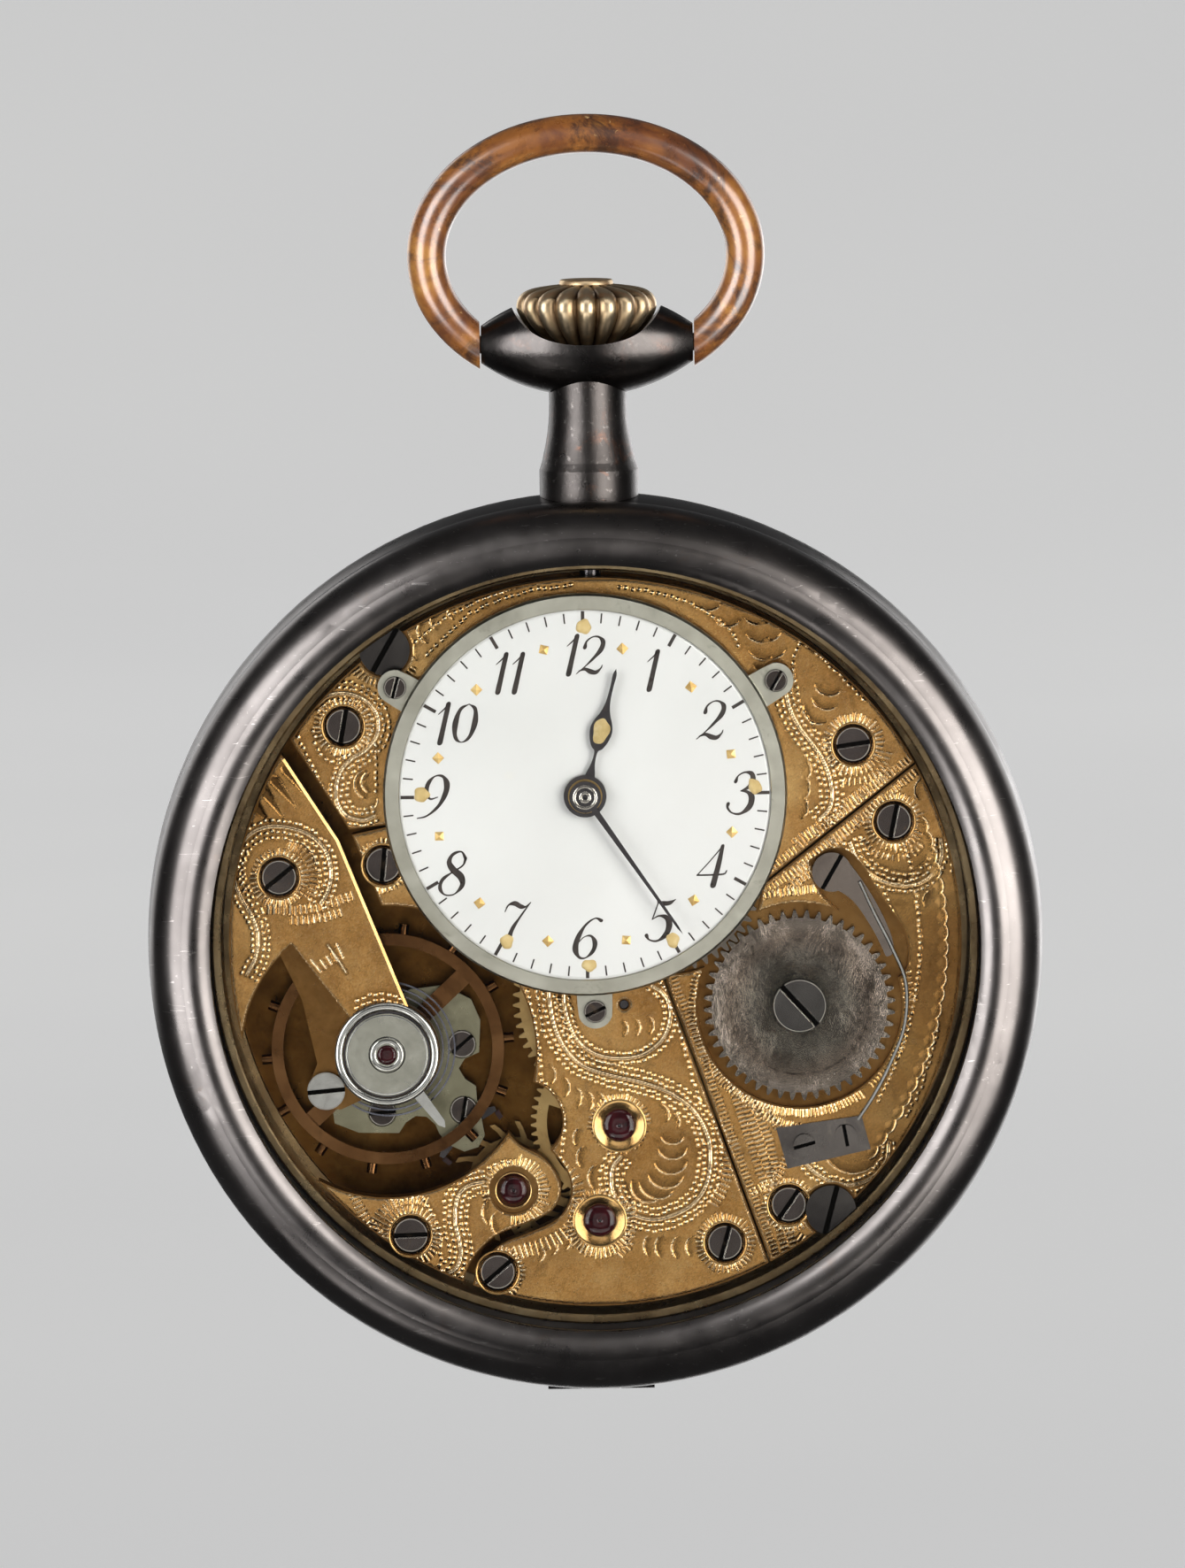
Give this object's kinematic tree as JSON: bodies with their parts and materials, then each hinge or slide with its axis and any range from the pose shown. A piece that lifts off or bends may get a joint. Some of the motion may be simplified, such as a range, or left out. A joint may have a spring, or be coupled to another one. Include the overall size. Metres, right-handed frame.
{
  "type": "open face pocket watch",
  "caption": "Open face pocket watch with a visible engraved movement, a small off-centre dial, a pull-out winding crown and a swinging bow.",
  "frame": {"origin": "centre of the flat outside of the back cover", "axes": "+Z towards the pendant, crown and bow (twelve o'clock), -Y out of the dial towards the reader, +X to the reader's right (three o'clock)"},
  "size_m": [0.05, 0.0125, 0.0718],
  "materials": {
    "case_steel": "gun-blued steel, satin, worn",
    "pendant_steel": "gun-blued steel, worn, a little rust at the collar",
    "bow_bronze": "browned bronze, polished where it wears",
    "crown_gilt": "gilt brass, worn on the ribs",
    "crystal_glass": "clear, polished, slightly domed",
    "plate_gilt": "frosted gilt, hand engraved on the outside",
    "wheel_gilt": "gilt, matt",
    "steel_bright": "polished steel",
    "steel_dark": "dark polished steel",
    "ratchet_steel": "ground steel, smoky",
    "nickel": "nickel silver, matt",
    "ruby": "polished red stone",
    "spring_steel": "blued spring steel",
    "enamel": null,
    "balance_metal": "steel inside and brass outside, toned brown"
  },
  "bodies": {
    "case": {"case_middle": "case_steel", "pendant": "pendant_steel", "cover_hinge_pin": "steel_dark", "movement_ring": "plate_gilt", "case_screws": "steel_dark", "main_plate": "plate_gilt", "upper_bridge": "plate_gilt", "train_bridge": "plate_gilt", "barrel_bridge": "plate_gilt", "escape_cock": "plate_gilt", "balance_cock": "plate_gilt", "bridge_screws": "steel_dark", "small_screws": "steel_dark", "jewels": "ruby", "escapement_platform": "nickel", "dial": "enamel", "dial_ring": "nickel", "cap_jewel_setting": "steel_bright", "hairspring": "spring_steel", "hairspring_stud": "steel_bright", "click_spring": "ratchet_steel"},
    "bezel": {"bezel": "case_steel", "crystal": "crystal_glass"},
    "back": {"rear_cover": "case_steel"},
    "bow": {"bow": "bow_bronze"},
    "stem": {"winding_pinion": "steel_bright"},
    "crown": {"crown": "crown_gilt", "winding_stem": "steel_bright"},
    "clutch": {"sliding_clutch": "steel_bright"},
    "setting_lever": {"setting_lever": "steel_bright"},
    "crown_wheel": {"crown_wheel": "ratchet_steel"},
    "winding_small": {"winding_wheel_small": "ratchet_steel"},
    "winding_large": {"winding_wheel_large": "ratchet_steel"},
    "ratchet": {"ratchet_wheel": "ratchet_steel", "ratchet_screw": "steel_bright", "barrel_arbor": "steel_bright"},
    "click": {"click": "ratchet_steel"},
    "barrel": {"barrel": "wheel_gilt", "barrel_cover": "wheel_gilt", "mainspring": "spring_steel"},
    "centre": {"centre_wheel": "wheel_gilt", "centre_arbor": "steel_bright"},
    "third": {"third_wheel": "wheel_gilt", "third_arbor": "steel_bright"},
    "fourth": {"fourth_wheel": "wheel_gilt", "fourth_arbor": "steel_bright"},
    "escape": {"escape_wheel": "steel_bright", "escape_arbor": "steel_bright"},
    "pallets": {"pallet_fork": "steel_bright", "pallet_stones": "ruby"},
    "balance": {"balance_wheel": "balance_metal", "balance_screws": "balance_metal", "balance_staff": "steel_bright"},
    "regulator": {"regulator": "steel_bright"},
    "minute_hand": {"hands_wheel": "wheel_gilt", "minute_arbor": "steel_dark", "minute_hand": "steel_dark"},
    "minute_wheel": {"minute_wheel": "wheel_gilt"},
    "hour_hand": {"hour_wheel": "wheel_gilt", "hour_hand": "steel_dark"}
  },
  "joints": [
    {"name": "train_run", "type": "hinge", "parent": "case", "child": "third", "pos_m": [0.0012, -0.005, -0.01027], "axis": [0, -1, 0], "continuous": true},
    {"name": "barrel_turn", "type": "hinge", "parent": "case", "child": "barrel", "pos_m": [0.01133, -0.005, -0.00366], "axis": [0, -1, 0], "continuous": true},
    {"name": "centre_turn", "type": "hinge", "parent": "case", "child": "centre", "pos_m": [0.00155, -0.005, -0.00347], "axis": [0, -1, 0], "continuous": true},
    {"name": "fourth_turn", "type": "hinge", "parent": "case", "child": "fourth", "pos_m": [0.00004, -0.005, -0.0156], "axis": [0, -1, 0], "continuous": true},
    {"name": "escape_turn", "type": "hinge", "parent": "case", "child": "escape", "pos_m": [-0.00475, -0.005, -0.01384], "axis": [0, -1, 0], "continuous": true},
    {"name": "minute_hand_turn", "type": "hinge", "parent": "case", "child": "minute_hand", "pos_m": [-0.00045, -0.008, 0.00846], "axis": [0, -1, 0], "continuous": true},
    {"name": "minute_wheel_turn", "type": "hinge", "parent": "case", "child": "minute_wheel", "pos_m": [-0.00405, -0.008, 0.00846], "axis": [0, -1, 0], "continuous": true},
    {"name": "hour_hand_turn", "type": "hinge", "parent": "case", "child": "hour_hand", "pos_m": [-0.00045, -0.009, 0.00846], "axis": [0, -1, 0], "continuous": true},
    {"name": "stem_turn", "type": "hinge", "parent": "case", "child": "stem", "pos_m": [0, -0.0058, 0.017], "axis": [0, 0, 1], "continuous": true},
    {"name": "crown_wheel_turn", "type": "hinge", "parent": "case", "child": "crown_wheel", "pos_m": [0, -0.0075, 0.014], "axis": [0, -1, 0], "continuous": true},
    {"name": "winding_small_turn", "type": "hinge", "parent": "case", "child": "winding_small", "pos_m": [0.00424, -0.0075, 0.01072], "axis": [0, -1, 0], "continuous": true},
    {"name": "winding_large_turn", "type": "hinge", "parent": "case", "child": "winding_large", "pos_m": [0.00415, -0.0075, 0.00342], "axis": [0, -1, 0], "continuous": true},
    {"name": "ratchet_turn", "type": "hinge", "parent": "case", "child": "ratchet", "pos_m": [0.01133, -0.0075, -0.00366], "axis": [0, -1, 0], "continuous": true},
    {"name": "crown_pull", "type": "slide", "parent": "stem", "child": "crown", "axis": [0, 0, 1], "range_m": [0, 0.001]},
    {"name": "clutch_slide", "type": "slide", "parent": "stem", "child": "clutch", "axis": [0, 0, 1], "range_m": [-0.0005, 0]},
    {"name": "setting_lever_turn", "type": "hinge", "parent": "case", "child": "setting_lever", "pos_m": [-0.0032, -0.0045, 0.0189], "axis": [0, -1, 0], "range_deg": [0, 18.5]},
    {"name": "click_lift", "type": "hinge", "parent": "case", "child": "click", "pos_m": [0.01321, -0.0075, 0.00382], "axis": [0, -1, 0], "range_deg": [0, 6]},
    {"name": "balance_swing", "type": "hinge", "parent": "case", "child": "balance", "pos_m": [-0.01169, -0.0055, -0.00604], "axis": [0, -1, 0], "range_deg": [-270, 270]},
    {"name": "pallet_rock", "type": "hinge", "parent": "case", "child": "pallets", "pos_m": [-0.00741, -0.0043, -0.01085], "axis": [0, -1, 0], "range_deg": [-5.4, 5.4]},
    {"name": "regulator_turn", "type": "hinge", "parent": "case", "child": "regulator", "pos_m": [-0.01169, -0.0081, -0.00604], "axis": [0, -1, 0], "range_deg": [-14, 14]},
    {"name": "bow_swing", "type": "hinge", "parent": "case", "child": "bow", "pos_m": [0, -0.0058, 0.0333], "axis": [1, 0, 0], "range_deg": [-120, 120]},
    {"name": "back_open", "type": "hinge", "parent": "case", "child": "back", "pos_m": [0, -0.003, -0.0252], "axis": [-1, 0, 0], "range_deg": [0, 100]},
    {"name": "bezel_off", "type": "slide", "parent": "case", "child": "bezel", "axis": [0, -1, 0], "range_m": [0, 0.012]}
  ],
  "couplings": [
    {"joint": "barrel_turn", "follows": "train_run", "ratio": 0.019231},
    {"joint": "centre_turn", "follows": "train_run", "ratio": -0.125},
    {"joint": "fourth_turn", "follows": "train_run", "ratio": -7.5},
    {"joint": "escape_turn", "follows": "train_run", "ratio": 75},
    {"joint": "minute_hand_turn", "follows": "train_run", "ratio": 0.125},
    {"joint": "minute_wheel_turn", "follows": "train_run", "ratio": -0.041667},
    {"joint": "hour_hand_turn", "follows": "train_run", "ratio": 0.010417},
    {"joint": "crown_wheel_turn", "follows": "stem_turn", "ratio": 0.42857},
    {"joint": "winding_small_turn", "follows": "stem_turn", "ratio": -0.54545},
    {"joint": "winding_large_turn", "follows": "stem_turn", "ratio": 0.26087},
    {"joint": "ratchet_turn", "follows": "stem_turn", "ratio": -0.25},
    {"joint": "clutch_slide", "follows": "crown_pull", "ratio": -0.5},
    {"joint": "setting_lever_turn", "follows": "crown_pull", "rad_per_m": 314.16},
    {"joint": "pallet_rock", "follows": "balance_swing", "ratio": 0.0195}
  ]
}
